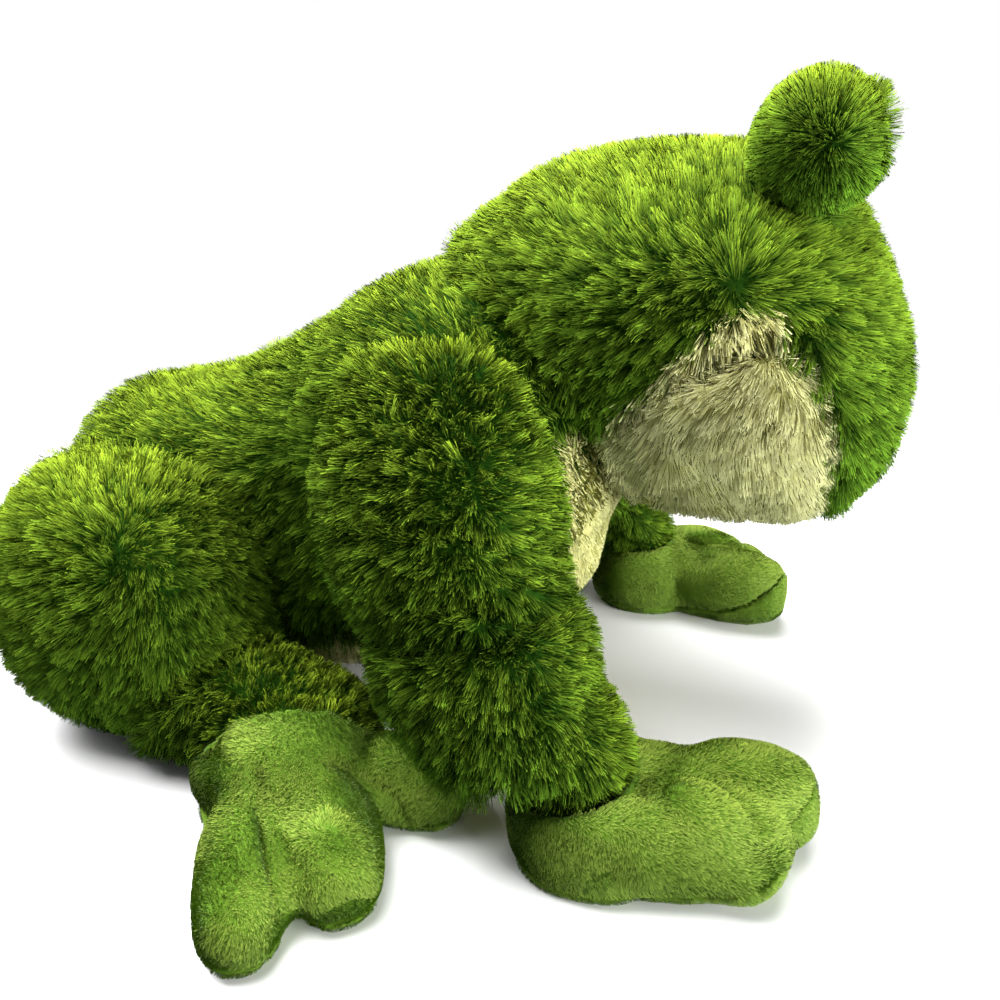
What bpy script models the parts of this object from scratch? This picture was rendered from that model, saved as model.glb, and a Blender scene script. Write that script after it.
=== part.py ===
"""Plush frog, sitting on its rump and haunches with its arms straight and its head raised.

Metres, +Z up, nose towards +X, the frog's left towards +Y. The origin is on the ground under the
middle of the frog's length. Every skin is measured to the tips of its fur.
"""

import math

import bmesh
import bpy
from mathutils import Matrix, Vector

# Whole frog
SEAM_GAP = 0.0003
JOINT_GAP = 0.0004
SKIN_WALL = 0.012
OVERRUN = 0.020
GROUND = 0.0

# Body, from rump to chest, flat where the haunches are sewn on
BODY_REAR = -0.177
BODY_LENGTH = 0.249
BODY_WIDTH = 0.160
BODY_HEIGHT = 0.180
BODY_ROUNDNESS = 0.60
BODY_WIDTH_SHARES = (1.09, 1.06, 0.96, 0.86, 0.83, 0.82, 0.80)
BODY_HEIGHT_SHARES = (1.16, 0.92, 0.855, 0.930, 1.02, 1.04, 0.97)
BODY_MIDDLE_SHARES = (0.380, 0.380, 0.405, 0.468, 0.536, 0.575, 0.585)
HIP_SEAM = 0.064

# Shoulders, a round swelling of the body that the head nods about, flat where the arms are sewn on
NECK_RADIUS = 0.072
NECK_HALF_WIDTH = 0.082
NECK_SETBACK = 0.061
NECK_DEPTH = 0.057
NECK_FORWARD = BODY_REAR + BODY_LENGTH - NECK_SETBACK
NECK_HEIGHT = BODY_HEIGHT - NECK_DEPTH
SHOULDER_SEAM = 0.068

# Belly panel, an oval of cream cloth let into the underside and the chest
BELLY_LENGTH = 0.280
BELLY_WIDTH = 0.096
BELLY_MIDDLE = -0.028
BELLY_TOP = 0.104
BELLY_SQUARENESS = 2.5
BELLY_SIDES = 28

# Head, from nape to nose
HEAD_BEHIND_NECK = 0.006
HEAD_REAR = NECK_FORWARD - HEAD_BEHIND_NECK
HEAD_LENGTH = 0.172
HEAD_WIDTH = 0.134
HEAD_HEIGHT = 0.142
HEAD_ABOVE_NECK = 0.043
HEAD_MIDDLE = NECK_HEIGHT + HEAD_ABOVE_NECK
HEAD_ROUNDNESS = 0.70
HEAD_WIDTH_SHARES = (1.12, 1.03, 1.01, 1.01, 1.03, 1.08, 1.11, 1.125, 1.03)
HEAD_HEIGHT_SHARES = (0.70, 0.82, 0.90, 0.940, 0.965, 1.000, 1.035, 1.05, 0.80)
HEAD_RISE_SHARES = (0.106, 0.063, 0.030, 0.018, 0.007, -0.009, -0.028, -0.070, -0.145)

# Jaw, the cream part of the head: shares of its length forwards and of its height upwards
JAW_OUTLINE_SHARES = (
    (0.20, -0.60),
    (0.20, -0.36),
    (0.34, -0.27),
    (0.47, -0.12),
    (0.63, 0.03),
    (0.71, 0.07),
    (0.78, -0.03),
    (0.84, -0.18),
    (0.86, -0.34),
    (0.86, -0.60),
)
JAW_MIDDLE_SHARES = (0.53, -0.25)

# Eye bulges, with an eye and its lock washer in each
BULGE_RADIUS = 0.0212
BULGE_HEIGHT = 0.045
BULGE_AHEAD = 0.128
BULGE_FORWARD = HEAD_REAR + BULGE_AHEAD
BULGE_SPREAD = 0.036
BULGE_RISE = 0.065
BULGE_LIFT = HEAD_MIDDLE + BULGE_RISE
EYE_RADIUS = 0.0070
EYE_DOME = 0.0050
EYE_RIM = 0.0010
EYE_SEAT = 0.0136
EYE_TILT = math.radians(10)
EYE_DOME_STEPS = 4
STEM_RADIUS = 0.0016
STEM_LENGTH = 0.0080
WASHER_RADIUS = 0.0065
WASHER_THICKNESS = 0.0015
WASHER_SETBACK = 0.0040
WASHER_GAP = 0.0001

# Arms, from the shoulder seam down to the wrist: where the middle runs, and how it swells
ARM_TOP = (0.016, 0.072, 0.172)
ARM_REACH = 0.052
ARM_SPREAD = 0.040
ARM_DROP = 0.158
ARM_REACH_SHARES = (0.00, 0.06, 0.22, 0.48, 0.76, 1.00)
ARM_SPREAD_SHARES = (0.00, 0.22, 0.44, 0.66, 0.86, 1.00)
ARM_DROP_SHARES = (0.00, 0.20, 0.40, 0.60, 0.80, 1.00)
ARM_WIDTH = 0.086
ARM_THICKNESS = 0.074
ARM_WIDTH_SHARES = (1.00, 1.03, 1.06, 1.05, 1.02, 0.93, 0.97, 0.94, 0.88, 0.82, 0.76)
ARM_THICKNESS_SHARES = (0.50, 0.68, 0.84, 0.96, 1.02, 0.90, 0.97, 0.95, 0.88, 0.82, 0.76)
ARM_ROUNDNESS = 0.50
WRIST_FORWARD = 0.072
WRIST_SPREAD = 0.100
WRIST_HEIGHT = 0.044
WRIST_RADIUS = 0.024
WRIST_SLOPE = math.radians(16)
WRIST_SWING = math.radians(8.5)

# Front feet, two toes on a broad palm
PALM_MIDDLE = (0.082, 0.099, 0.015)
PALM_LENGTH = 0.060
PALM_WIDTH = 0.062
PALM_HEIGHT = 0.054
PALM_SQUARENESS = 2.4
OUTER_TOE_PATH = ((0.076, 0.106), (0.095, 0.110), (0.120, 0.106), (0.143, 0.101))
INNER_TOE_PATH = ((0.080, 0.092), (0.105, 0.088), (0.135, 0.083), (0.158, 0.080))
FRONT_TOE_WIDTH = 0.036
FRONT_TOE_HEIGHT = 0.044
FRONT_TOE_MIDDLE = 0.018
FRONT_TOE_ROUNDNESS = 0.55
FRONT_TOE_SHARES = (0.90, 1.00, 1.02, 0.92)
FRONT_SOLE_PATH = (
    (0.000, 0.0045),
    (0.100, 0.0045),
    (0.122, 0.0070),
    (0.138, 0.0150),
    (0.152, 0.0270),
    (0.180, 0.0450),
)

# Haunches, flat against the hip seam
HAUNCH_PLACE = -0.115
HAUNCH_LIFT = 0.062
HAUNCH_INSET = 0.066
HAUNCH_LENGTH = 0.124
HAUNCH_HEIGHT = 0.126
HAUNCH_THICKNESS = 0.054
HAUNCH_SQUARENESS = 2.2

# Shins, lying on the ground along the body, each round about the line that its foot turns on
SHIN_REAR = -0.108
SHIN_LENGTH = 0.106
SHIN_SPREAD = 0.0865
SHIN_REAR_LIFT = 0.028
SHIN_FRONT_LIFT = 0.0225
SHIN_RADIUS = 0.0218
SHIN_RADIUS_SHARES = (1.05, 1.25, 1.36, 1.22, 0.99, 0.94)
SHIN_ROUNDNESS = 0.50

# Hind feet, three splayed toes on a palm
HIND_PALM_MIDDLE = (-0.032, 0.104, 0.016)
HIND_PALM_LENGTH = 0.074
HIND_PALM_WIDTH = 0.070
HIND_PALM_HEIGHT = 0.052
HIND_TOE_PATHS = (
    ((-0.048, 0.092), (-0.036, 0.120), (-0.021, 0.152), (-0.008, 0.182)),
    ((-0.034, 0.090), (-0.018, 0.112), (0.000, 0.136), (0.016, 0.158)),
    ((-0.030, 0.096), (-0.004, 0.097), (0.016, 0.099), (0.036, 0.102)),
)
HIND_TOE_WIDTHS = (0.036, 0.037, 0.034)
HIND_TOE_HEIGHT = 0.034
HIND_TOE_MIDDLE = 0.0115
HIND_TOE_ROUNDNESS = 0.50
HIND_TOE_SHARES = (0.90, 0.98, 1.04, 0.94)
HIND_FOOT_INSIDE = 0.068
HIND_SOLE_THICKNESS = 0.0045

RIGHT = -1
LEFT = 1
SIDES = {"right": RIGHT, "left": LEFT}

# Fineness of the round forms: corners round a ring, rings along the form
BODY_MESH = (28, 20)
HEAD_MESH = (26, 18)
NECK_MESH = (40, 16)
BULGE_MESH = (16, 10)
ARM_MESH = (18, 20)
WRIST_MESH = (24, 12)
PAW_MESH = (14, 9)
HAUNCH_MESH = (22, 12)
SHIN_MESH = (24, 12)
EYE_STEPS = 14

# Finishes: colour, roughness
GREEN_FUR = ("green_fur", (0.050, 0.185, 0.016), 0.90)
GREEN_PILE = ("green_short_pile", (0.130, 0.310, 0.035), 0.80)
CREAM_FUR = ("cream_fur", (0.780, 0.720, 0.330), 0.90)
CREAM_PILE = ("cream_short_pile", (0.800, 0.760, 0.400), 0.85)
STUFFING = ("polyester_stuffing", (0.850, 0.850, 0.830), 1.00)
EYE_PLASTIC = ("eye_plastic", (0.010, 0.010, 0.010), 0.15)
WASHER_PLASTIC = ("washer_plastic", (0.800, 0.800, 0.780), 0.50)
SHARP_ANGLE = math.radians(50)
SLIVER = 0.00002

FORWARD = Vector((1, 0, 0))
LEFTWARD = Vector((0, 1, 0))
UPWARD = Vector((0, 0, 1))


def clear_scene():
    for thing in list(bpy.data.objects):
        bpy.data.objects.remove(thing)


def material(finish):
    name, colour, roughness = finish
    found = bpy.data.materials.get(name)
    if found:
        return found
    made = bpy.data.materials.new(name)
    made.use_nodes = True
    shader = made.node_tree.nodes["Principled BSDF"]
    shader.inputs["Base Color"].default_value = (*colour, 1.0)
    shader.inputs["Roughness"].default_value = roughness
    shader.inputs["Metallic"].default_value = 0.0
    made.diffuse_color = (*colour, 1.0)
    return made


def object_from(name, form):
    """An object from a bmesh, which is used up."""
    mesh = bpy.data.meshes.new(name)
    bmesh.ops.recalc_face_normals(form, faces=form.faces)
    form.to_mesh(mesh)
    form.free()
    mesh.shade_smooth()
    mesh.set_sharp_from_angle(angle=SHARP_ANGLE)
    made = bpy.data.objects.new(name, mesh)
    bpy.context.scene.collection.objects.link(made)
    return made


def piece(name, form, finish):
    made = object_from(name, form)
    made.data.materials.append(material(finish))
    return made


def helper(name, form):
    made = object_from(name, form)
    made.hide_render = True
    made.display_type = "WIRE"
    return made


def between(values, share):
    """The value at a share of the way along a smooth curve through evenly spaced values."""
    last = len(values) - 1
    place = min(max(share, 0.0), 1.0) * last
    start = min(int(place), last - 1)
    part = place - start
    before, first = values[max(start - 1, 0)], values[start]
    second, after = values[start + 1], values[min(start + 2, last)]
    return 0.5 * (
        2 * first
        + (second - before) * part
        + (2 * before - 5 * first + 4 * second - after) * part**2
        + (3 * first - before - 3 * second + after) * part**3
    )


def swollen(spine, widths, heights, roundness, fineness, square=2.0, facing=None, up=UPWARD):
    """A stuffed form: a ball drawn out along a spine, whose half widths and half heights swell and taper."""
    form = bmesh.new()
    bmesh.ops.create_uvsphere(form, u_segments=fineness[0], v_segments=fineness[1], radius=1.0)
    step = 1e-3
    for corner in form.verts:
        across, over, along = corner.co
        share = (1 + along) / 2
        ahead = facing or between(spine, share + step) - between(spine, share - step)
        sideways = up.cross(ahead).normalized()
        upward = ahead.cross(sideways).normalized()
        reach = math.hypot(across, over)
        stretch = 0.0
        if reach > step:
            turn = abs(across / reach) ** square + abs(over / reach) ** square
            stretch = reach ** (roundness - 1) / turn ** (1 / square)
        corner.co = (
            between(spine, share)
            + sideways * across * stretch * between(widths, share)
            + upward * over * stretch * between(heights, share)
        )
    bmesh.ops.recalc_face_normals(form, faces=form.faces)
    return form


def scaled(shares, size):
    return [share * size for share in shares]


def ellipsoid(centre, half_sizes, fineness, square=2.0):
    """A ball or an egg whose poles lie along Y, so that it keeps its form as it turns about Y."""
    half_length, half_width, half_height = half_sizes
    ends = (centre - LEFTWARD * half_width, centre + LEFTWARD * half_width)
    return swollen(ends, (half_length,) * 2, (half_height,) * 2, 1.0, fineness, square)


def sliced(form, point, outward):
    """Takes off what lies beyond a plane and closes the cut with a flat face."""
    whole = form.verts[:] + form.edges[:] + form.faces[:]
    cut = bmesh.ops.bisect_plane(
        form, geom=whole, plane_co=point, plane_no=outward, clear_outer=True, dist=1e-7
    )
    rim = [part for part in cut["geom_cut"] if isinstance(part, bmesh.types.BMEdge)]
    if rim:
        bmesh.ops.holes_fill(form, edges=rim)
    return form


def on_the_ground(form):
    return sliced(form, Vector((0, 0, GROUND)), -UPWARD)


def both_sides_sliced(form, distance):
    sliced(form, LEFTWARD * distance, LEFTWARD)
    return sliced(form, -LEFTWARD * distance, -LEFTWARD)


def grown(form, margin):
    """A copy whose faces lie outside those of the form by the margin."""
    bigger = form.copy()
    bmesh.ops.recalc_face_normals(bigger, faces=bigger.faces)
    bigger.normal_update()
    moves = [corner.normal * margin * corner.calc_shell_factor() for corner in bigger.verts]
    for corner, move in zip(bigger.verts, moves):
        corner.co += move
    return bigger


def prism(outline, push):
    """A flat outline pushed along a vector into a closed solid."""
    form = bmesh.new()
    floor = form.faces.new([form.verts.new(point) for point in outline])
    pushed = bmesh.ops.extrude_face_region(form, geom=[floor])
    moved = [part for part in pushed["geom"] if isinstance(part, bmesh.types.BMVert)]
    bmesh.ops.translate(form, verts=moved, vec=push)
    if not any(floor is face for face in form.faces):
        form.faces.new([corner for corner in form.verts if corner not in moved])
    bmesh.ops.recalc_face_normals(form, faces=form.faces)
    return form


def turned(profile, place, closed=False):
    """A body of revolution from (radius, height) pairs about the Z axis of its place."""
    form = bmesh.new()
    corners = [form.verts.new((radius, 0, height)) for radius, height in profile]
    pairs = list(zip(corners, corners[1:]))
    if closed:
        pairs.append((corners[-1], corners[0]))
    edges = [form.edges.new(pair) for pair in pairs]
    bmesh.ops.spin(
        form,
        geom=corners + edges,
        cent=(0, 0, 0),
        axis=(0, 0, 1),
        angle=math.tau,
        steps=EYE_STEPS,
        use_merge=True,
    )
    bmesh.ops.remove_doubles(form, verts=form.verts, dist=1e-6)
    bmesh.ops.recalc_face_normals(form, faces=form.faces)
    bmesh.ops.transform(form, matrix=place, verts=form.verts)
    return form


def shaped(target, operation, other):
    change = target.modifiers.new(f"{operation} {other.name}"[:60], "BOOLEAN")
    change.operation = operation
    change.solver = "EXACT"
    change.object = other


def pivot(name, place):
    """An empty on a joint's axis, for the pieces that turn about it."""
    empty = bpy.data.objects.new(name, None)
    bpy.context.scene.collection.objects.link(empty)
    empty.location = place
    return empty


def settled():
    """Carries out every cut and join, drops the helpers, and closes the hair-thin slivers that are left."""
    graph = bpy.context.evaluated_depsgraph_get()
    pieces = [thing for thing in bpy.data.objects if thing.type == "MESH" and not thing.hide_render]
    results = {thing: bpy.data.meshes.new_from_object(thing.evaluated_get(graph)) for thing in pieces}
    for thing, mesh in results.items():
        thing.modifiers.clear()
        form = bmesh.new()
        form.from_mesh(mesh)
        bmesh.ops.remove_doubles(form, verts=form.verts, dist=SLIVER)
        bmesh.ops.dissolve_degenerate(form, edges=form.edges, dist=SLIVER)
        bmesh.ops.triangulate(form, faces=form.faces)
        form.to_mesh(mesh)
        form.free()
        mesh.set_sharp_from_angle(angle=SHARP_ANGLE)
        thing.data = mesh
    for thing in list(bpy.data.objects):
        if thing.type == "MESH" and thing.hide_render:
            bpy.data.objects.remove(thing)


def carry(carrier, *things):
    """Hangs objects on another one without moving them."""
    bpy.context.view_layer.update()
    for thing in things:
        thing.parent = carrier
        thing.matrix_parent_inverse = carrier.matrix_world.inverted()


def body_form():
    last = len(BODY_MIDDLE_SHARES) - 1
    spine = [
        Vector((BODY_REAR + BODY_LENGTH * index / last, 0, share * BODY_HEIGHT))
        for index, share in enumerate(BODY_MIDDLE_SHARES)
    ]
    widths = scaled(BODY_WIDTH_SHARES, BODY_WIDTH / 2)
    heights = scaled(BODY_HEIGHT_SHARES, BODY_HEIGHT / 2)
    return swollen(spine, widths, heights, BODY_ROUNDNESS, BODY_MESH, facing=FORWARD)


def neck_form():
    centre = Vector((NECK_FORWARD, 0, NECK_HEIGHT))
    return ellipsoid(centre, (NECK_RADIUS, NECK_HALF_WIDTH, NECK_RADIUS), NECK_MESH)


def head_form():
    last = len(HEAD_RISE_SHARES) - 1
    spine = [
        Vector((HEAD_REAR + HEAD_LENGTH * index / last, 0, HEAD_MIDDLE + share * HEAD_HEIGHT))
        for index, share in enumerate(HEAD_RISE_SHARES)
    ]
    widths = scaled(HEAD_WIDTH_SHARES, HEAD_WIDTH / 2)
    heights = scaled(HEAD_HEIGHT_SHARES, HEAD_HEIGHT / 2)
    return swollen(spine, widths, heights, HEAD_ROUNDNESS, HEAD_MESH, facing=FORWARD)


def belly_prism(margin):
    outline = []
    for index in range(BELLY_SIDES):
        turn = math.tau * index / BELLY_SIDES
        blunt = 2 / BELLY_SQUARENESS
        along = math.copysign(abs(math.cos(turn)) ** blunt, math.cos(turn))
        across = math.copysign(abs(math.sin(turn)) ** blunt, math.sin(turn))
        length = BELLY_LENGTH / 2 + margin
        width = BELLY_WIDTH / 2 + margin
        outline.append(Vector((BELLY_MIDDLE + along * length, across * width, -OVERRUN)))
    return prism(outline, UPWARD * (BELLY_TOP + OVERRUN + margin))


def jaw_prism(margin):
    middle_share, low_share = JAW_MIDDLE_SHARES
    outline = []
    for forward, rise in JAW_OUTLINE_SHARES:
        point = Vector((HEAD_REAR + forward * HEAD_LENGTH, -HEAD_WIDTH, HEAD_MIDDLE + rise * HEAD_HEIGHT))
        away = Vector((forward - middle_share, 0, rise - low_share)).normalized()
        outline.append(point + away * margin)
    return prism(outline, LEFTWARD * 2 * HEAD_WIDTH)


def make_body():
    """Back panel and belly panel, sewn together round one stuffing."""
    form = body_form()
    neck = both_sides_sliced(neck_form(), SHOULDER_SEAM)
    core = both_sides_sliced(grown(form, -SKIN_WALL), HIP_SEAM - SKIN_WALL)
    filling = grown(core, -SEAM_GAP)
    outside = on_the_ground(both_sides_sliced(form, HIP_SEAM))
    back = piece("back_panel", outside.copy(), GREEN_FUR)
    belly = piece("belly_panel", outside, CREAM_PILE)
    shoulders = helper("shoulder_form", neck)
    hollow = helper("body_hollow", core)
    inlay = helper("belly_outline", belly_prism(0))
    cutter = helper("belly_cutter", belly_prism(SEAM_GAP))
    for panel in (back, belly):
        shaped(panel, "UNION", shoulders)
    shaped(belly, "INTERSECT", inlay)
    shaped(back, "DIFFERENCE", cutter)
    for panel in (back, belly):
        shaped(panel, "DIFFERENCE", hollow)
    piece("body_stuffing", filling, STUFFING)


def make_head():
    """Head panel and jaw panel round one stuffing, hollow behind for the shoulders."""
    form = head_form()
    core = grown(form, -SKIN_WALL)
    filling = grown(form, -SKIN_WALL - SEAM_GAP)
    head = piece("head", form.copy(), GREEN_FUR)
    jaw = piece("jaw", form, CREAM_FUR)
    stuffing = piece("head_stuffing", filling, STUFFING)
    neck = neck_form()
    socket = helper("neck_socket", grown(neck, JOINT_GAP))
    inner_wall = helper("neck_wall", grown(neck, SKIN_WALL))
    filling_end = helper("neck_wall_clearance", grown(neck, SKIN_WALL + SEAM_GAP))
    neck.free()
    hollow = helper("head_hollow", core)
    shaped(hollow, "DIFFERENCE", inner_wall)
    shaped(stuffing, "DIFFERENCE", filling_end)
    shaped(jaw, "INTERSECT", helper("jaw_outline", jaw_prism(0)))
    shaped(head, "DIFFERENCE", helper("jaw_cutter", jaw_prism(SEAM_GAP)))
    for panel in (head, jaw):
        shaped(panel, "DIFFERENCE", hollow)
        shaped(panel, "DIFFERENCE", socket)
    return [head, jaw, stuffing]


def make_eye(name, side, head_cutter):
    """A bulge on the head with its eye, whose stem is held by a lock washer inside."""
    centre = Vector((BULGE_FORWARD, side * BULGE_SPREAD, BULGE_LIFT))
    half_sizes = (BULGE_RADIUS, BULGE_RADIUS, BULGE_HEIGHT / 2)
    bulge = piece(f"eye_bulge_{name}", ellipsoid(centre, half_sizes, BULGE_MESH), GREEN_FUR)
    turn = Matrix.Rotation(math.pi / 2 - EYE_TILT, 4, "Y")
    place = Matrix.Translation(centre) @ turn
    washer_top = EYE_SEAT - WASHER_SETBACK
    washer_bottom = washer_top - WASHER_THICKNESS
    stem_end = EYE_SEAT - STEM_LENGTH
    hole = STEM_RADIUS + SEAM_GAP
    room = WASHER_RADIUS + SEAM_GAP
    rim = EYE_RADIUS + SEAM_GAP
    pocket = [
        (0, stem_end - SEAM_GAP),
        (hole, stem_end - SEAM_GAP),
        (hole, washer_bottom - SEAM_GAP),
        (room, washer_bottom - SEAM_GAP),
        (room, washer_top + SEAM_GAP),
        (hole, washer_top + SEAM_GAP),
        (hole, EYE_SEAT - SEAM_GAP),
        (rim, EYE_SEAT - SEAM_GAP),
        (rim, EYE_SEAT + OVERRUN),
        (0, EYE_SEAT + OVERRUN),
    ]
    shaped(bulge, "DIFFERENCE", head_cutter)
    shaped(bulge, "DIFFERENCE", helper(f"eye_pocket_{name}", turned(pocket, place)))
    button = [(0, stem_end), (STEM_RADIUS, stem_end), (STEM_RADIUS, EYE_SEAT), (EYE_RADIUS, EYE_SEAT)]
    for step in range(EYE_DOME_STEPS + 1):
        rise = math.pi / 2 * step / EYE_DOME_STEPS
        button.append((EYE_RADIUS * math.cos(rise), EYE_SEAT + EYE_RIM + EYE_DOME * math.sin(rise)))
    eye = piece(f"eye_{name}", turned(button, place), EYE_PLASTIC)
    inside = STEM_RADIUS + WASHER_GAP
    ring = [
        (inside, washer_bottom),
        (WASHER_RADIUS, washer_bottom),
        (WASHER_RADIUS, washer_top),
        (inside, washer_top),
    ]
    washer = piece(f"eye_washer_{name}", turned(ring, place, closed=True), WASHER_PLASTIC)
    return [bulge, eye, washer]


def toe_form(path, width, height, middle, roundness, shares):
    spine = [Vector((forward, across, middle)) for forward, across in path]
    widths = scaled(shares, width / 2)
    heights = scaled(shares, height / 2)
    return swollen(spine, widths, heights, roundness, PAW_MESH)


def sided(path, side):
    return [(forward, side * across) for forward, across in path]


def wrist_place(side):
    return Vector((WRIST_FORWARD, side * WRIST_SPREAD, WRIST_HEIGHT))


def wrist_ball(side, margin):
    return ellipsoid(wrist_place(side), (WRIST_RADIUS + margin,) * 3, WRIST_MESH)


def make_arm(name, side):
    """A furry sleeve with its filling, ending in a round wrist inside the foot."""
    forward, across, lift = ARM_TOP
    spine = [
        Vector((forward + reach * ARM_REACH, side * (across + out * ARM_SPREAD), lift - drop * ARM_DROP))
        for reach, out, drop in zip(ARM_REACH_SHARES, ARM_SPREAD_SHARES, ARM_DROP_SHARES)
    ]
    lengths = scaled(ARM_WIDTH_SHARES, ARM_WIDTH / 2)
    thicknesses = scaled(ARM_THICKNESS_SHARES, ARM_THICKNESS / 2)
    form = swollen(spine, thicknesses, lengths, ARM_ROUNDNESS, ARM_MESH, up=FORWARD)
    sliced(form, LEFTWARD * side * (SHOULDER_SEAM + SEAM_GAP), LEFTWARD * -side)
    hem = Matrix.Rotation(-WRIST_SLOPE, 3, "Y") @ -UPWARD
    sliced(form, wrist_place(side), hem)
    arm = piece(f"arm_{name}", form, GREEN_FUR)
    shaped(arm, "UNION", helper(f"wrist_{name}", wrist_ball(side, 0)))
    return arm


def make_front_foot(name, side):
    """A palm with two toes, hollow on top for the wrist, and a sole that turns up in front."""
    forward, across, middle = PALM_MIDDLE
    centre = Vector((forward, side * across, middle))
    palm = ellipsoid(centre, (PALM_LENGTH / 2, PALM_WIDTH / 2, PALM_HEIGHT / 2), PAW_MESH, PALM_SQUARENESS)
    outer = toe_form(
        sided(OUTER_TOE_PATH, side), FRONT_TOE_WIDTH, FRONT_TOE_HEIGHT, FRONT_TOE_MIDDLE,
        FRONT_TOE_ROUNDNESS, FRONT_TOE_SHARES,
    )
    inner = toe_form(
        sided(INNER_TOE_PATH, side), FRONT_TOE_WIDTH, FRONT_TOE_HEIGHT, FRONT_TOE_MIDDLE,
        FRONT_TOE_ROUNDNESS, FRONT_TOE_SHARES,
    )
    for form in (palm, outer, inner):
        on_the_ground(form)
        for swing in (WRIST_SWING, -WRIST_SWING):
            above = Matrix.Rotation(swing - WRIST_SLOPE, 3, "Y") @ UPWARD
            sliced(form, wrist_place(side), above)
    toes = [helper(f"outer_toe_{name}", outer), helper(f"inner_toe_{name}", inner)]
    socket = helper(f"wrist_socket_{name}", wrist_ball(side, JOINT_GAP))
    foot = piece(f"front_foot_{name}", palm.copy(), GREEN_PILE)
    sole = piece(f"front_sole_{name}", palm, GREEN_PILE)
    for part, operation, margin in ((foot, "DIFFERENCE", SEAM_GAP), (sole, "INTERSECT", 0)):
        for toe in toes:
            shaped(part, "UNION", toe)
        outline = [
            Vector((place, side * (across - PALM_WIDTH), height + margin))
            for place, height in FRONT_SOLE_PATH
        ]
        low = -OVERRUN
        outline += [Vector((outline[-1].x, outline[-1].y, low)), Vector((outline[0].x, outline[0].y, low))]
        seam = prism(outline, LEFTWARD * side * 2 * PALM_WIDTH)
        shaped(part, operation, helper(f"{part.name}_seam", seam))
    shaped(foot, "DIFFERENCE", socket)
    return [foot, sole]


def shin_line(side):
    rear = Vector((SHIN_REAR, side * SHIN_SPREAD, SHIN_REAR_LIFT))
    front = Vector((SHIN_REAR + SHIN_LENGTH, side * SHIN_SPREAD, SHIN_FRONT_LIFT))
    return rear, front


def shin_form(side):
    radii = scaled(SHIN_RADIUS_SHARES, SHIN_RADIUS)
    return swollen(shin_line(side), radii, radii, SHIN_ROUNDNESS, SHIN_MESH)


def make_leg(name, side):
    """A haunch flat against the body, with the shin let into its front."""
    centre = Vector((HAUNCH_PLACE, side * HAUNCH_INSET, HAUNCH_LIFT))
    half_sizes = (HAUNCH_LENGTH / 2, HAUNCH_THICKNESS, HAUNCH_HEIGHT / 2)
    form = ellipsoid(centre, half_sizes, HAUNCH_MESH, HAUNCH_SQUARENESS)
    seam = LEFTWARD * side * (HIP_SEAM + SEAM_GAP)
    cutter = helper(f"haunch_cutter_{name}", grown(form, SEAM_GAP))
    haunch = piece(f"haunch_{name}", on_the_ground(sliced(form, seam, LEFTWARD * -side)), GREEN_FUR)
    shin = on_the_ground(sliced(shin_form(side), seam, LEFTWARD * -side))
    lower_leg = piece(f"lower_leg_{name}", shin, GREEN_FUR)
    shaped(lower_leg, "DIFFERENCE", cutter)
    return [haunch, lower_leg], cutter


def make_hind_foot(name, side, haunch_cutter):
    """A palm with three toes, hollow for the shin that it turns about, and a flat sole."""
    forward, across, middle = HIND_PALM_MIDDLE
    centre = Vector((forward, side * across, middle))
    half_sizes = (HIND_PALM_LENGTH / 2, HIND_PALM_WIDTH / 2, HIND_PALM_HEIGHT / 2)
    palm = ellipsoid(centre, half_sizes, PAW_MESH, PALM_SQUARENESS)
    toes = [
        toe_form(
            sided(path, side), width, HIND_TOE_HEIGHT, HIND_TOE_MIDDLE, HIND_TOE_ROUNDNESS, HIND_TOE_SHARES
        )
        for path, width in zip(HIND_TOE_PATHS, HIND_TOE_WIDTHS)
    ]
    inside = LEFTWARD * side * HIND_FOOT_INSIDE
    for form in (palm, *toes):
        on_the_ground(sliced(form, inside, LEFTWARD * -side))
    toes = [helper(f"hind_toe_{name}_{number}", toe) for number, toe in enumerate(toes, 1)]
    shin = shin_form(side)
    socket = helper(f"shin_socket_{name}", grown(shin, JOINT_GAP))
    shin.free()
    foot = piece(f"hind_foot_{name}", palm.copy(), GREEN_PILE)
    sole = piece(f"hind_sole_{name}", palm, GREEN_PILE)
    for part in (foot, sole):
        for toe in toes:
            shaped(part, "UNION", toe)
        shaped(part, "DIFFERENCE", socket)
        shaped(part, "DIFFERENCE", haunch_cutter)
    reach = Vector((BODY_LENGTH, 0, 0))
    quarters = [Matrix.Rotation(math.tau * number / 4, 3, "Z") for number in range(4)]
    corners = [quarter @ reach * math.sqrt(2) - UPWARD * OVERRUN for quarter in quarters]
    for part, operation, top in (
        (foot, "DIFFERENCE", HIND_SOLE_THICKNESS + SEAM_GAP),
        (sole, "INTERSECT", HIND_SOLE_THICKNESS),
    ):
        slab = prism(corners, UPWARD * (OVERRUN + top))
        shaped(part, operation, helper(f"{part.name}_seam", slab))
    return [foot, sole]


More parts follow.
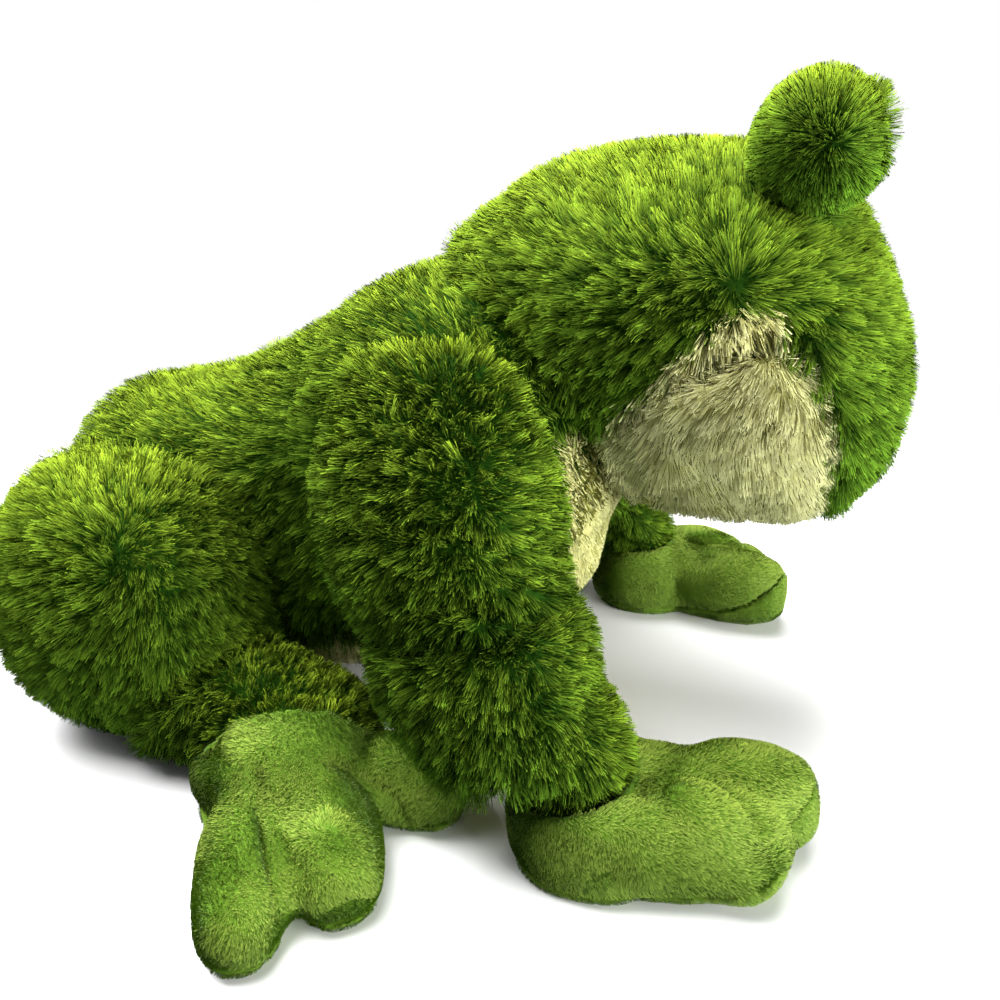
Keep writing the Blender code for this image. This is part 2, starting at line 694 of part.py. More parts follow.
def main():
    clear_scene()
    make_body()
    neck = pivot("neck_pivot", Vector((NECK_FORWARD, 0, NECK_HEIGHT)))
    carry(neck, *make_head())
    whole_head = head_form()
    head_cutter = helper("head_cutter", grown(whole_head, SEAM_GAP))
    whole_head.free()
    for name, side in SIDES.items():
        carry(neck, *make_eye(name, side, head_cutter))
        shoulder = pivot(f"shoulder_pivot_{name}", Vector((NECK_FORWARD, side * SHOULDER_SEAM, NECK_HEIGHT)))
        wrist = pivot(f"wrist_pivot_{name}", wrist_place(side))
        carry(shoulder, make_arm(name, side), wrist)
        carry(wrist, *make_front_foot(name, side))
        hip = pivot(f"hip_pivot_{name}", Vector((HAUNCH_PLACE, side * HIP_SEAM, HAUNCH_LIFT)))
        ankle = pivot(f"ankle_pivot_{name}", shin_line(side)[1])
        leg, haunch_cutter = make_leg(name, side)
        carry(hip, *leg, ankle)
        carry(ankle, *make_hind_foot(name, side, haunch_cutter))
    settled()


main()
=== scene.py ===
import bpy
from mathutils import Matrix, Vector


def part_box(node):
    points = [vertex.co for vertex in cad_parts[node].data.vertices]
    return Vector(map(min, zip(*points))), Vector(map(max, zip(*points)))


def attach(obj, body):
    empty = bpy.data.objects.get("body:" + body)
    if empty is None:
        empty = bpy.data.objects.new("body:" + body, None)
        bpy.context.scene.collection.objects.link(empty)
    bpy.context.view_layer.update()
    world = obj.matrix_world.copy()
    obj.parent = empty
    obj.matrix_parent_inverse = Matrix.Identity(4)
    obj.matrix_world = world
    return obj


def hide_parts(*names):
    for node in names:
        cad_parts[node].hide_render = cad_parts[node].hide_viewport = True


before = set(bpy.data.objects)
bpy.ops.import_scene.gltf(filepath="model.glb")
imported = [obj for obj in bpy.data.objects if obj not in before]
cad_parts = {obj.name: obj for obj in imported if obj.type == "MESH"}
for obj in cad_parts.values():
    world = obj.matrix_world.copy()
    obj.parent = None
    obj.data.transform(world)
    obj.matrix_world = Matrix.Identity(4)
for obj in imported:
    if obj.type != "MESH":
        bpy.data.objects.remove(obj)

"""Looks of a plush frog: cloth skins with a real pile of fine strands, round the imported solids.

Metres, +Z up, nose towards +X. Each skin follows the solid that it stands for, drawn in by the
height of its pile, and the pile fills the space out to the solid's own surface.
"""

import logging
import math
from dataclasses import dataclass, replace
from enum import Enum
from functools import cache
from typing import Callable

import bmesh
import bpy
import numpy as np
from mathutils import Matrix, Vector
from mathutils.bvhtree import BVHTree
from mathutils.kdtree import KDTree

LOG = logging.getLogger("plush_frog")
MILLIMETRE = 0.001
Place = tuple[float, float, float]
Colour = tuple[float, float, float]
Array = np.ndarray
Chance = np.random.Generator
Flow = Callable[[Array, Array], Array]

# Seams and ground: how near another solid closes a seam, and what counts as standing on the ground.
GROUND_CLEARANCE = 0.0004
GROUND_FACING = 0.7
SEAM_REACH = 0.0012
SEAM_RINGS = 24
SEAM_FADE = 0.96
SKIP = 0.0002

# The cloth: its smoothing, its lumps, and how deep it may be drawn into a thin piece.
SMOOTHING_STEP = 0.5
LUMP_LENGTH = 0.045
CLOTH_DEPTH_SHARE = 0.80
WALL_SEARCH = 3
WALL_SHARE = 0.4

# The form as a whole, and how far pile and light follow it instead of each piece.
FORM_REACH = 0.020
FORM_NEAREST = 40
PIECE_SHARE = 0.35
FORM_SHARE = 0.8

# The strands: their ranges of chance, their lengths and the two shapes that they have.
GATHER_RANGE = (0.4, 1.0)
WIDTH_RANGE = (0.7, 1.3)
OWN_STRAY = 0.5
OWN_SPARKLE = 0.5
TURN_SPREAD = 0.6
TIP_GATHER = 0.5
FACING_LEAN = 0.25
DEEPEST_VALLEY = 0.6
SEAM_HEIGHT = 0.85
OPEN_GAIN = 0.15
LOWEST_RISE = 0.62
LONGEST_REACH = 1.35
ROOT_DEPTH = 0.0005
BLUNT_WIDTH = 0.7
BLUNT_WEIGHTS = (0.0, 1.0, 1.0)
SHARP_WEIGHTS = (0.0, 0.0, 1.0)
MOST_STRANDS = 95000
STRAND_CHART = ((0.15, 0.15), (0.85, 0.15), (0.5, 0.85))

# Warmth by which way a strand faces: its random chance, the painted top light that facing up adds,
# and the level taken off, which leaves strands facing sideways or down less red as painted shade.
WARM_CHANCE = 0.4
PAINTED_TOP_WARMTH = 1.2
WARM_LEVEL = 0.4

# Smooth fields.
WAVES = 14
WAVE_RANGE = (0.6, 1.6)
EVEN_OUT = 0.012
SMALLEST_LENGTH = 1e-9

# Materials.
CLOTH_SPECULAR = 0.05
PLASTIC_SPECULAR = 0.5
NAP_DETAIL = 6.0
NAP_ROUGHNESS = 0.65
BROAD_TIMES = 9
BROAD_DETAIL = 3.0
CLOTH_RAMP = (0.36, 0.64)
SHEEN_ROUGHNESS = 0.35
PLASTIC_GRAIN = 900.0
PLASTIC_BUMP = 0.05
COAT_ROUGHNESS = 0.04


class Side(Enum):
    """The frog's own right and left, as the sign of Y."""

    RIGHT = -1
    LEFT = 1

    @property
    def word(self) -> str:
        """The side's name as it stands in the names of nodes."""
        return self.name.lower()


@dataclass(frozen=True)
class PileShade:
    """The colours of one pile: at its roots, painted as the shade deep in the pile, at its tips, and how much
    tufts and strands differ.
    """

    root: Colour
    tip: Colour
    tuft_change: float
    strand_change: float
    # How much the warmth, partly random and partly painted top light, moves red and blue.
    warm_change: float = 0.24

    def dressed(
        self, weight: Array, tuft: Array, strand: Array, warm: Array
    ) -> Array:
        """Colours of strand points.

        Args:
            weight: how far along its strand each point lies, from 0 to 1, lowered where shade is painted; at
                0 a point takes the root's painted shade.
            tuft: a tuft's own brightness, from -1 to 1.
            strand: a strand's own brightness, from -1 to 1.
            warm: a strand's warmth, from -1 to 1, partly random and partly painted top light on strands that
                face up.

        Returns:
            One colour with alpha for each point.
        """
        # The root colour is painted shade deep in the pile; the weight runs from it to the tip colour.
        base = np.outer(1 - weight, self.root) + np.outer(weight, self.tip)
        light = 1 + self.tuft_change * tuft + self.strand_change * strand
        base = base * light[:, None]
        # Painted top light: positive warmth adds red and takes off blue, negative warmth takes off red.
        base[:, 0] *= 1 + self.warm_change * warm
        base[:, 2] *= 1 - self.warm_change * np.maximum(warm, 0.0)
        return np.concatenate([np.clip(base, 0.0, 1.0), np.ones((len(base), 1))], axis=1)


@dataclass(frozen=True)
class Coat:
    """How a pile grows: its height, the width and number of its strands, and how they gather in tufts.

    height is how far the tips stand off the cloth, lean how far the strands lie over, drift how much
    the way they lie changes over whorl_size, stray how much each tuft goes its own way, gather how
    closely a tuft's tips draw together, droop how far they hang, uneven and tuft_uneven how much
    strands and tufts differ in height, blunt how many of the strands are widest at their tips,
    sparkle how far a tuft takes light its own way, painted_shade_below the share of the height under
    which strands keep the dark root colour as painted shade of the undercoat, valley_fill how much
    longer they are in the dips between pieces, fringe how many rows of strands stand past a seam, and
    most the largest number of strands on one piece.
    """

    shade: PileShade
    height: float
    width: float
    per_square_mm: float
    lean: float
    drift: float
    stray: float
    tuft_size: float
    gather: float
    droop: float = 0.10
    uneven: float = 0.22
    tuft_uneven: float = 0.16
    whorl_size: float = 0.045
    blunt: float = 0.6
    sparkle: float = 0.30
    # Painted shade: strands shorter than this share of the height keep the dark root colour, as the undercoat
    # shaded by taller strands.
    painted_shade_below: float = 0.45
    valley_fill: float = 1.0
    fringe: int = 4
    most: int = 190000


@dataclass(frozen=True)
class Fold:
    """A line where the stuffing gives way and the cloth is drawn in, with painted shade on the strands along
    it.
    """

    point: Place
    normal: Place
    depth: float
    width: float
    # How much the strands along the line are darkened: painted shade in the fold.
    shade: float = 0.7

    def nearness(self, points: Array) -> Array:
        """How near each point lies to the line, one on it and less to either side."""
        away = (points - np.array(self.point)) @ unit(np.array(self.normal, float))
        return np.exp(-((away / self.width) ** 2))


@dataclass(frozen=True)
class Crease:
    """A stitched or sunken line along a path, where the cloth is drawn in and painted shade on the strands
    along it stands for the parted pile.
    """

    path: tuple[Place, ...]
    depth: float
    width: float
    # How much the strands along the path are darkened: painted shade in the crease.
    shade: float = 0.8

    def mirrored(self, sign: int) -> "Crease":
        """The same crease on the side with that sign of Y."""
        return replace(self, path=tuple((x, sign * y, z) for x, y, z in self.path))

    def nearness(self, points: Array) -> Array:
        """How near each point lies to the line, one on it and less away from it."""
        least = np.full(len(points), np.inf)
        for start, end in zip(np.array(self.path[:-1]), np.array(self.path[1:])):
            along = np.clip((points - start) @ (end - start) / np.sum((end - start) ** 2), 0.0, 1.0)
            away = points - start - along[:, None] * (end - start)
            least = np.minimum(least, np.linalg.norm(away, axis=1))
        return np.exp(-((least / self.width) ** 2))


@dataclass(frozen=True)
class Clearing:
    """A round place where the pile is kept short, as round an eye."""

    centre: Place
    radius: float
    keep: float


@dataclass(frozen=True)
class Patch:
    """A part of a skin where the pile has another colour and length, the same on both sides.

    low and high are the corners of a box, with Y as the distance from the middle. The box widens
    downward by splay for each unit of height, toward the rear and toward the front. keep is the
    share of the pile's height that is left there, and widen how much wider its strands are.
    """

    low: Place
    high: Place
    shade: PileShade
    keep: float
    widen: float
    blur: float = 0.0012
    splay: tuple[float, float] = (0.0, 0.0)

    def holds(self, points: Array, random: Chance) -> Array:
        """Which points lie in the patch, with a soft edge."""
        moved = points * np.where(points < 0, (1.0, -1.0, 1.0), 1.0)
        moved += random.normal(0.0, self.blur, points.shape)
        drop = (self.high[2] - moved[:, 2])[:, None] * (1.0, 0.0, 0.0)
        behind = moved > self.low - drop * self.splay[0]
        return np.all(behind & (moved < self.high + drop * self.splay[1]), axis=1)


def shader_material(
    name: str, roughness: float, specular: float
) -> tuple[bpy.types.Material, bpy.types.Node]:
    """A material with a Principled shader.

    Args:
        name: the material's name.
        roughness: the shader's roughness.
        specular: the shader's specular level.

    Returns:
        The material and its shader node.
    """
    made = bpy.data.materials.new(name)
    made.use_nodes = True
    shader = made.node_tree.nodes["Principled BSDF"]
    shader.inputs["Roughness"].default_value = roughness
    shader.inputs["Specular IOR Level"].default_value = specular
    return made, shader


def noise_node(tree: bpy.types.NodeTree, scale: float, place: bpy.types.NodeSocket) -> bpy.types.Node:
    """A noise pattern of that scale on that place."""
    noise = tree.nodes.new("ShaderNodeTexNoise")
    noise.inputs["Scale"].default_value = scale
    tree.links.new(place, noise.inputs["Vector"])
    return noise


def add_ramp(
    tree: bpy.types.NodeTree, pattern: bpy.types.NodeSocket, shader: bpy.types.Node,
    colours: tuple[Colour, Colour], ends: tuple[float, float] = (0.0, 1.0),
) -> None:
    """Gives a shader a colour that runs between two with a pattern.

    Args:
        tree: the material's nodes.
        pattern: the pattern.
        shader: the shader.
        colours: the colours at the pattern's low and high end.
        ends: where those ends are.
    """
    ramp = tree.nodes.new("ShaderNodeValToRGB")
    for stop, end, colour in zip(ramp.color_ramp.elements, ends, colours):
        stop.position = end
        stop.color = (*colour, 1.0)
    tree.links.new(pattern, ramp.inputs["Fac"])
    tree.links.new(ramp.outputs["Color"], shader.inputs["Base Color"])


def add_relief(
    tree: bpy.types.NodeTree, pattern: bpy.types.NodeSocket, shader: bpy.types.Node,
    strength: float, distance: float,
) -> None:
    """Gives a shader a fine relief.

    Args:
        tree: the material's nodes.
        pattern: the relief's height.
        shader: the shader.
        strength: how strong the relief is.
        distance: how deep it is.
    """
    relief = tree.nodes.new("ShaderNodeBump")
    relief.inputs["Strength"].default_value = strength
    relief.inputs["Distance"].default_value = distance
    tree.links.new(pattern, relief.inputs["Height"])
    tree.links.new(relief.outputs["Normal"], shader.inputs["Normal"])


class Finish:
    """A surface finish, made into a material once."""

    name: str

    def material(self) -> bpy.types.Material:
        """The finish as a material."""
        return bpy.data.materials.get(self.name) or self.made()

    def made(self) -> bpy.types.Material:
        """The new material."""
        raise NotImplementedError


@dataclass(frozen=True)
class StrandFinish(Finish):
    """Fibre that takes its colour from each strand."""

    name: str
    roughness: float
    specular: float

    def made(self) -> bpy.types.Material:
        """The new material."""
        made, shader = shader_material(self.name, self.roughness, self.specular)
        nodes, links = made.node_tree.nodes, made.node_tree.links
        colour = nodes.new("ShaderNodeVertexColor")
        colour.layer_name = "pile_colour"
        links.new(colour.outputs["Color"], shader.inputs["Base Color"])
        return made


@dataclass(frozen=True)
class ClothFinish(Finish):
    """Backing cloth or short velvety cloth, with a fine nap that runs one way."""

    name: str
    low: Colour
    high: Colour
    grain: float
    stretch: tuple[float, float, float] = (1.0, 1.0, 1.0)
    bump: float = 0.4
    roughness: float = 0.85
    sheen: float = 0.0

    def made(self) -> bpy.types.Material:
        """The new material."""
        made, shader = shader_material(self.name, self.roughness, CLOTH_SPECULAR)
        tree = made.node_tree
        nodes, links = tree.nodes, tree.links
        place = nodes.new("ShaderNodeTexCoord")
        mapping = nodes.new("ShaderNodeMapping")
        mapping.inputs["Scale"].default_value = self.stretch
        links.new(place.outputs["Object"], mapping.inputs["Vector"])
        fine = noise_node(tree, self.grain, mapping.outputs["Vector"])
        fine.inputs["Detail"].default_value = NAP_DETAIL
        fine.inputs["Roughness"].default_value = NAP_ROUGHNESS
        broad = noise_node(tree, self.grain / BROAD_TIMES, mapping.outputs["Vector"])
        broad.inputs["Detail"].default_value = BROAD_DETAIL
        both = nodes.new("ShaderNodeMath")
        both.operation = "ADD"
        half = nodes.new("ShaderNodeMath")
        half.operation = "MULTIPLY"
        half.inputs[1].default_value = 0.5
        links.new(fine.outputs["Fac"], both.inputs[0])
        links.new(broad.outputs["Fac"], both.inputs[1])
        links.new(both.outputs[0], half.inputs[0])
        add_ramp(tree, half.outputs[0], shader, (self.low, self.high), CLOTH_RAMP)
        add_relief(tree, fine.outputs["Fac"], shader, self.bump, MILLIMETRE)
        shader.inputs["Sheen Weight"].default_value = self.sheen
        shader.inputs["Sheen Roughness"].default_value = SHEEN_ROUGHNESS
        return made


@dataclass(frozen=True)
class PlasticFinish(Finish):
    """Moulded plastic with faint mould marks."""

    name: str
    low: Colour
    high: Colour
    roughness: float
    coat: float = 0.0

    def made(self) -> bpy.types.Material:
        """The new material."""
        made, shader = shader_material(self.name, self.roughness, PLASTIC_SPECULAR)
        tree = made.node_tree
        place = tree.nodes.new("ShaderNodeTexCoord")
        noise = noise_node(tree, PLASTIC_GRAIN, place.outputs["Object"])
        add_ramp(tree, noise.outputs["Fac"], shader, (self.low, self.high))
        add_relief(tree, noise.outputs["Fac"], shader, PLASTIC_BUMP, MILLIMETRE / 10)
        shader.inputs["Coat Weight"].default_value = self.coat
        shader.inputs["Coat Roughness"].default_value = COAT_ROUGHNESS
        return made


# Each pile's root colour is painted shade deep in the pile, darker than its strands at the tips.
GREEN = PileShade(root=(0.008, 0.042, 0.002), tip=(0.300, 0.500, 0.034),
                  tuft_change=0.20, strand_change=0.24)
SHORT_GREEN = PileShade(root=(0.085, 0.180, 0.014), tip=(0.330, 0.470, 0.070),
                        tuft_change=0.04, strand_change=0.26, warm_change=0.08)
CREAM = PileShade(root=(0.880, 0.850, 0.300), tip=(0.990, 0.985, 0.500),
                  tuft_change=0.03, strand_change=0.04, warm_change=0.04)
SHORT_CREAM = PileShade(root=(0.860, 0.830, 0.320), tip=(0.960, 0.940, 0.420),
                        tuft_change=0.03, strand_change=0.04, warm_change=0.04)

LONG_GREEN = Coat(GREEN, height=0.0075, width=0.00029, per_square_mm=5.0, lean=0.40, drift=0.50,
                  stray=0.34, tuft_size=0.0026, gather=0.68, uneven=0.20, tuft_uneven=0.36, sparkle=0.20)
UPRIGHT_GREEN = replace(LONG_GREEN, lean=0.20)
COMBED_GREEN = replace(LONG_GREEN, lean=0.60)
BULGE_COAT = Coat(GREEN, height=0.0060, width=0.00027, per_square_mm=9.0, lean=0.32, drift=0.15,
                  stray=0.20, tuft_size=0.0020, gather=0.40, uneven=0.14, tuft_uneven=0.16, sparkle=0.14,
                  valley_fill=0.0)
LONG_CREAM = Coat(CREAM, height=0.0075, width=0.00030, per_square_mm=5.0, lean=0.75, drift=0.45,
                  stray=0.30, tuft_size=0.0034, gather=0.50, uneven=0.14, tuft_uneven=0.30, painted_shade_below=0.1,
                  sparkle=0.12, valley_fill=0.2)
BELLY_COAT = Coat(SHORT_CREAM, height=0.0024, width=0.00040, per_square_mm=1.8, lean=1.0, drift=0.4,
                  stray=0.30, tuft_size=0.0025, gather=0.20, painted_shade_below=0.2)
PAW_COAT = Coat(SHORT_GREEN, height=0.0015, width=0.00026, per_square_mm=9.0, lean=1.0, drift=0.55,
                stray=0.20, tuft_size=0.0014, gather=0.22, droop=0.0, fringe=1, whorl_size=0.030,
                painted_shade_below=0.2, sparkle=0.10, tuft_uneven=0.10)
SOLE_COAT = replace(PAW_COAT, height=0.0010, per_square_mm=7.0, fringe=2)

# Creases: path, how deep the cloth is drawn in, width, and the painted shade that darkens the strands along
# them (0.8 if not given, none on the swell).
HIND_TOE_CREASE = Crease(((-0.028, 0.131, 0.034), (-0.021, 0.140, 0.028), (-0.0136, 0.149, 0.0265),
                          (-0.007, 0.157, 0.0234), (0.001, 0.166, 0.0140)), 0.0030, 0.0022)
HIND_INNER_CREASE = Crease(((-0.005, 0.1176, 0.033), (0.001, 0.1135, 0.0262), (0.010, 0.1132, 0.020),
                            (0.0162, 0.1152, 0.0156), (0.0200, 0.1160, 0.0060)), 0.0030, 0.0026)
FRONT_TOE_CREASE = Crease(((0.100, 0.104, 0.0400), (0.1135, 0.0985, 0.0376), (0.1205, 0.0985, 0.0360),
                           (0.1264, 0.1014, 0.0372), (0.1315, 0.1065, 0.0359), (0.1354, 0.111, 0.0320)),
                          0.0030, 0.0024)
FRONT_SWELL = Crease(((0.135, 0.116, 0.012), (0.142, 0.110, 0.020), (0.148, 0.103, 0.022)),
                     -0.0050, 0.0085, 0.0)
HEEL_TAPER = Crease(((-0.060, 0.120, 0.032), (-0.055, 0.128, 0.026), (-0.052, 0.136, 0.014)),
                    0.0065, 0.0120, 0.3)
FRONT_DIP = Crease(((0.0996, 0.1106, 0.0396), (0.1064, 0.0928, 0.0377), (0.1120, 0.0780, 0.0340)),
                   0.0045, 0.0060, 0.3)
FRONT_FOOT_LINES = (FRONT_TOE_CREASE, FRONT_SWELL, FRONT_DIP)
HIND_FOOT_LINES = (HIND_TOE_CREASE, HIND_INNER_CREASE, HEEL_TAPER)
# The elbow creases darken the strands along them with painted shade.
ELBOW_CREASES = (
    Crease(((0.010, 0.120, 0.1255), (0.034, 0.122, 0.1260), (0.050, 0.118, 0.1245)), 0.0030, 0.0028, 0.6),
    Crease(((0.030, 0.126, 0.1015), (0.050, 0.124, 0.1034), (0.0633, 0.118, 0.1009), (0.073, 0.112, 0.0955)),
           0.0035, 0.0030, 0.7),
)
# Painted shadow under the eye bulge: the strands along this line are darkened fully.
UNDER_BULGE_CREASE = Crease(((0.110, 0.046, 0.2190), (0.120, 0.047, 0.2150), (0.132, 0.046, 0.2105),
                             (0.150, 0.034, 0.2080)), 0.0030, 0.0070, 1.0)
BIB = Patch((0.058, -0.010, 0.000), (0.120, 0.062, 0.138), SHORT_CREAM, keep=0.75, widen=2.6)
MOUTH_TOP = Patch(
    (0.1125, 0.045, 0.140), (0.1250, 0.085, 0.1825), CREAM, keep=1.0, widen=2.2, splay=(0.9, 0.60)
)

FUR = StrandFinish("green_fur_strands", roughness=0.75, specular=0.03)
CREAM_FIBRE = StrandFinish("cream_fur_strands", roughness=0.75, specular=0.05)
PAW_FIBRE = StrandFinish("short_green_strands", roughness=0.62, specular=0.10)
# The green backing is as dark as the green roots: painted shade under the pile.
GREEN_BACKING = ClothFinish("green_backing_cloth", (0.010, 0.045, 0.002), (0.025, 0.085, 0.005), grain=700)
CREAM_BACKING = ClothFinish("cream_backing_cloth", (0.840, 0.800, 0.300), (0.940, 0.920, 0.420), grain=700)
PAW_CLOTH = ClothFinish("short_green_cloth", (0.070, 0.160, 0.010), (0.180, 0.330, 0.030), grain=600,
                        stretch=(1.0, 2.0, 2.0), bump=0.6, sheen=0.2)
SOLE_CLOTH = ClothFinish("sole_green_cloth", (0.080, 0.180, 0.012), (0.200, 0.350, 0.035), grain=600,
                         bump=0.6, sheen=0.2)
WADDING = ClothFinish("white_wadding", (0.700, 0.700, 0.680), (0.900, 0.900, 0.890), grain=260, bump=0.8,
                      roughness=1.0)
EYE_GLOSS = PlasticFinish("eye_gloss", (0.004, 0.004, 0.004), (0.012, 0.011, 0.010), roughness=0.12, coat=0.6)
WASHER_PLASTIC = PlasticFinish("washer_matt", (0.700, 0.700, 0.680), (0.820, 0.820, 0.800), roughness=0.5)


def unit(vectors: Array) -> Array:
    """The vectors at length one."""
    return vectors / np.maximum(np.linalg.norm(vectors, axis=-1, keepdims=True), SMALLEST_LENGTH)


def flowing(*direction: float) -> Flow:
    """A flow that runs one way all over."""
    way = np.array(direction, float)
    return lambda points, normals: np.tile(way, (len(points), 1))


def swirling(centre: Place, fall: float, spin: float = 0.0, mirrored: bool = False) -> Flow:
    """A flow that runs out from a crown, with some fall under its own weight.

    Args:
        centre: the crown.
        fall: how far the strands turn down.
        spin: how far they turn round the crown.
        mirrored: whether the other side has such a crown too.

    Returns:
        The flow.
    """
    crown = np.array(centre, float)

    def flow(points: Array, normals: Array) -> Array:
        away = points - crown * np.array((1.0, 0.0, 1.0))
        away[:, 1] = points[:, 1] - crown[1]
        if mirrored:
            away[:, 1] = np.tanh(points[:, 1] / EVEN_OUT) * (np.abs(points[:, 1]) - crown[1])
        away = unit(away)
        return away + spin * np.cross(normals, away) + np.array((0.0, 0.0, -fall))

    return flow


def waving(points: Array, length: float, seed: int) -> Array:
    """Vectors of about unit length that change smoothly from place to place.

    Args:
        points: where they are wanted.
        length: how far apart the changes are.
        seed: which of the endless such fields is meant.

    Returns:
        One vector for each point.
    """
    random = np.random.default_rng(seed)
    waves = unit(random.normal(0.0, 1.0, (WAVES, 3))) * math.tau / length
    waves *= random.uniform(*WAVE_RANGE, (WAVES, 1))
    swings = random.normal(0.0, 1.0, (WAVES, 3)) / math.sqrt(WAVES / 2)
    return np.sin(points @ waves.T + random.uniform(0.0, math.tau, WAVES)) @ swings


def points_of(mesh: bpy.types.Mesh) -> Array:
    """A mesh's vertices as an array."""
    flat = np.empty(len(mesh.vertices) * 3)
    mesh.vertices.foreach_get("co", flat)
    return flat.reshape(-1, 3)


def normals_of(mesh: bpy.types.Mesh) -> Array:
    """A mesh's vertex normals as an array."""
    flat = np.empty(len(mesh.vertices) * 3, np.float32)
    mesh.vertex_normals.foreach_get("vector", flat)
    return flat.reshape(-1, 3).astype(float)


def merged_copy(node: str) -> bmesh.types.BMesh:
    """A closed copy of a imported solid's mesh."""
    form = bmesh.new()
    form.from_mesh(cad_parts[node].data)
    bmesh.ops.remove_doubles(form, verts=form.verts, dist=MILLIMETRE / 100)
    return form


def tree_without(node: str) -> BVHTree:
    """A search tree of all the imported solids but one."""
    corners: list[Vector] = []
    faces: list[tuple[int, ...]] = []
    for name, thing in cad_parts.items():
        if name == node:
            continue
        start = len(corners)
        corners += [corner.co.copy() for corner in thing.data.vertices]
        faces += [tuple(start + index for index in face.vertices) for face in thing.data.polygons]
    return BVHTree.FromPolygons(corners, faces)


class Form:
    """The frog's form as a whole, with the creases between its pieces smoothed over."""

    def __init__(self) -> None:
        """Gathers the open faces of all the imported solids, and leaves out those that meet in a seam."""
        faces = [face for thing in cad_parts.values() for face in thing.data.polygons]
        solids = tree_without("")
        faces = [
            face for face in faces
            if solids.ray_cast(face.center + face.normal * SKIP, face.normal, SEAM_REACH)[0] is None
        ]
        self.weights = np.array([face.area for face in faces])
        self.normals = np.array([face.normal[:] for face in faces])
        self.tree = KDTree(len(faces))
        for number, face in enumerate(faces):
            self.tree.insert(face.center, number)
        self.tree.balance()

    def outward(self, points: Array, own: Array) -> Array:
        """Which way is out of the form as a whole.

        Args:
            points: where that is wanted.
            own: which way is out of the piece itself there.

        Returns:
            One direction for each point.
        """
        wide = np.zeros_like(points)
        for index, point in enumerate(points):
            found = self.tree.find_n(point, FORM_NEAREST)
            numbers = [number for _, number, _ in found]
            reach = np.array([distance for _, _, distance in found]) / FORM_REACH
            share = self.weights[numbers] * np.exp(-(reach**2))
            wide[index] = share @ self.normals[numbers]
        return unit(unit(wide) + PIECE_SHARE * own)


@cache
def whole_form() -> Form:
    """The frog's form as a whole, worked out once."""
    return Form()


@dataclass
class Cloth:
    """The mesh of one skin while it is worked on.

    edges are the pairs of corners that hang together, and counts how many neighbours each has.

    open is one where the solid is open to view and zero on a seam or on the ground.
    """

    mesh: bpy.types.Mesh
    points: Array
    edges: Array
    counts: Array
    open: Array
    grounded: Array

    @classmethod
    def over(cls, node: str, mesh: bpy.types.Mesh) -> "Cloth":
        """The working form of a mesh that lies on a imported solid.

        Args:
            node: the solid.
            mesh: the fine, even mesh of it.

        Returns:
            The cloth.
        """
        points = points_of(mesh)
        edges = np.empty(len(mesh.edges) * 2, np.int32)
        mesh.edges.foreach_get("vertices", edges)
        edges = edges.reshape(-1, 2)
        solid = merged_copy(node)
        own, others = BVHTree.FromBMesh(solid), tree_without(node)
        solid.free()
        is_open, grounded = np.ones(len(points)), np.zeros(len(points), bool)
        for index, point in enumerate(points):
            place, normal, _, _ = own.find_nearest(Vector(point))
            grounded[index] = place.z < GROUND_CLEARANCE and normal.z < -GROUND_FACING
            if grounded[index] or others.ray_cast(place + normal * SKIP, normal, SEAM_REACH)[0]:
                is_open[index] = 0.0
        counts = np.bincount(edges.ravel(), minlength=len(points)).clip(1)
        return cls(mesh, points, edges, counts, is_open, grounded)

    def near_mean(self, values: Array) -> Array:
        """The mean of each corner's neighbours."""
        ends, starts = self.edges.T
        total = np.zeros_like(values)
        for axis in range(values.shape[1]):
            total[:, axis] = np.bincount(ends, values[starts, axis], len(values))
            total[:, axis] += np.bincount(starts, values[ends, axis], len(values))
        return total / self.counts[:, None]

    def smooth(self, times: int) -> None:
        """Evens out the cloth, and keeps what stands on the ground there."""
        for _ in range(times):
            self.points += SMOOTHING_STEP * (self.near_mean(self.points) - self.points)
            self.points[self.grounded, 2] = 0.0
        self.write()

    def furred(self, fringe: int) -> Array:
        """One on each corner that carries pile: the open ones and some rows past each seam."""
        covered = self.open.copy()
        for _ in range(fringe):
            near = self.near_mean(covered[:, None])[:, 0] > 0
            covered = np.where(near & ~self.grounded, 1.0, covered)
        return covered

    def write(self) -> None:
        """Puts the corners back into the mesh."""
        self.points[:, 2] = np.maximum(self.points[:, 2], 0.0)
        self.mesh.vertices.foreach_set("co", self.points.ravel())
        self.mesh.update()

    def draw_in(self, inset: float, folds: tuple[Fold | Crease, ...], lumps: float, seed: int) -> None:
        """Moves the cloth in by the pile's height, and lets the seams follow.

        Args:
            inset: the pile's height.
            folds: where the cloth is drawn in further.
            lumps: how uneven the filling is.
            seed: which lumps it has.
        """
        normals = normals_of(self.mesh)
        own = BVHTree.FromPolygons(
            [Vector(point) for point in self.points], [tuple(face.vertices) for face in self.mesh.polygons]
        )
        depth = np.full(len(self.points), inset)
        for index in np.flatnonzero(self.open):
            start, way = Vector(self.points[index]), -Vector(normals[index])
            wall = own.ray_cast(start + way * SKIP, way, WALL_SEARCH * inset)[3]
            if wall is not None:
                depth[index] = min(inset, WALL_SHARE * wall)
        depth += lumps * waving(self.points, LUMP_LENGTH, seed)[:, 0]
        for fold in folds:
            depth += fold.depth * fold.nearness(self.points)
        move = -normals * (depth * self.open)[:, None]
        shut = self.open == 0
        for _ in range(SEAM_RINGS):
            move[shut] = SEAM_FADE * self.near_mean(move)[shut]
        move[self.grounded, 2] = 0.0
        self.points += move
        self.write()


